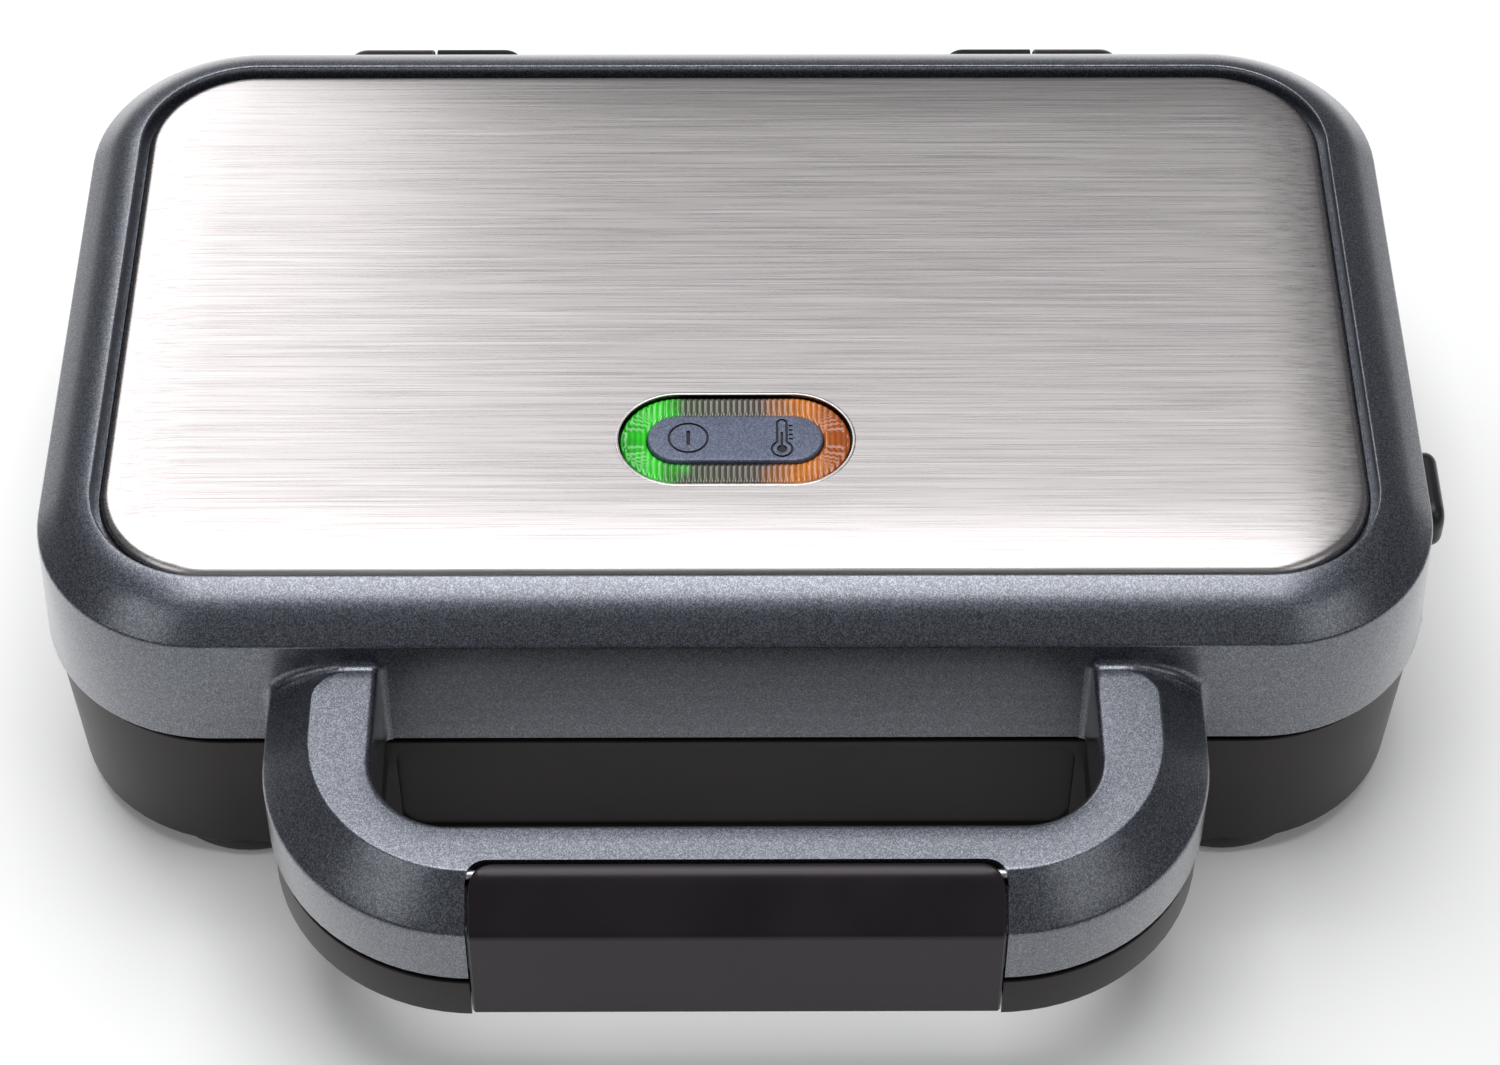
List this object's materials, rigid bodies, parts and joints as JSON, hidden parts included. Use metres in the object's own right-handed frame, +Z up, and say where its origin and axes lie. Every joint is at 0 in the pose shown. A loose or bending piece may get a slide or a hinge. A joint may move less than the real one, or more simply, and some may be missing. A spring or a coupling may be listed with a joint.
{
  "type": "sandwich toaster",
  "caption": "Closed electric sandwich toaster with a hinged lid, U-shaped handle, clip latch, side release buttons and deep cooking plates.",
  "frame": {"origin": "on the surface that the feet stand on, under the middle of the toaster", "axes": "+X to the right, along the width; +Y to the rear, where the hinges are; +Z up"},
  "size_m": [0.285, 0.2438, 0.0777],
  "materials": {
    "metallic_paint": "moulded plastic with blue-grey metallic paint",
    "brushed_steel": "brushed along the width",
    "clear_lens": "clear ribbed moulding",
    "badge_plastic": "blue-grey, satin",
    "circuit_board": "board laminate",
    "green_lamp": "green lamp",
    "amber_lamp": "amber lamp",
    "frame_plastic": "black, heat resistant",
    "nonstick_coating": "cast, black non-stick coating",
    "aluminised_sheet": "aluminised sheet",
    "element_sheath": "heating tube sheath",
    "plated_steel": "zinc plated",
    "hinge_plastic": "black, satin",
    "latch_plastic": "black, satin",
    "button_plastic": "black, satin",
    "casing_plastic": "dark brown-black, satin",
    "foot_rubber": "black rubber",
    "ceramic_body": "off-white, heat resistant"
  },
  "bodies": {
    "base": {"base_casing": "casing_plastic", "base_frame": "frame_plastic", "lower_cooking_plate": "nonstick_coating", "lower_reflector": "aluminised_sheet", "lower_element": "element_sheath", "lower_element_supports": "plated_steel", "base_screws": "plated_steel", "lower_button_spring": "plated_steel", "hinge_pins": "plated_steel", "rubber_feet": "foot_rubber", "cord_gland": "foot_rubber", "terminal_block": "ceramic_body", "thermostat": "ceramic_body", "thermal_fuse": "aluminised_sheet"},
    "lid": {"lid_casing": "metallic_paint", "top_plate": "brushed_steel", "indicator_lens": "clear_lens", "indicator_badge": "badge_plastic", "lamp_board": "circuit_board", "power_lamp": "green_lamp", "ready_lamp": "amber_lamp", "lid_frame": "frame_plastic", "upper_cooking_plate": "nonstick_coating", "upper_reflector": "aluminised_sheet", "upper_element": "element_sheath", "upper_element_supports": "plated_steel", "lid_screws": "plated_steel", "upper_button_spring": "plated_steel", "lid_hinge_brackets": "hinge_plastic", "latch_pin": "plated_steel"},
    "latch": {"latch": "latch_plastic"},
    "upper_button": {"upper_release_button": "button_plastic"},
    "lower_button": {"lower_release_button": "button_plastic"}
  },
  "joints": [
    {"name": "lid_hinge", "type": "hinge", "parent": "base", "child": "lid", "pos_m": [0, 0.11626, 0.0582], "axis": [-1, 0, 0], "range_deg": [0, 100]},
    {"name": "latch_hinge", "type": "hinge", "parent": "lid", "child": "latch", "pos_m": [0, -0.1118, 0.0632], "axis": [-1, 0, 0], "range_deg": [0, 30]},
    {"name": "upper_button_slide", "type": "slide", "parent": "lid", "child": "upper_button", "axis": [-1, 0, 0], "range_m": [0, 0.0025], "stiffness_N_per_m": 400, "springref_m": -0.002, "deforming": ["upper_button_spring"]},
    {"name": "lower_button_slide", "type": "slide", "parent": "base", "child": "lower_button", "axis": [-1, 0, 0], "range_m": [0, 0.0025], "stiffness_N_per_m": 400, "springref_m": -0.002, "deforming": ["lower_button_spring"]}
  ]
}
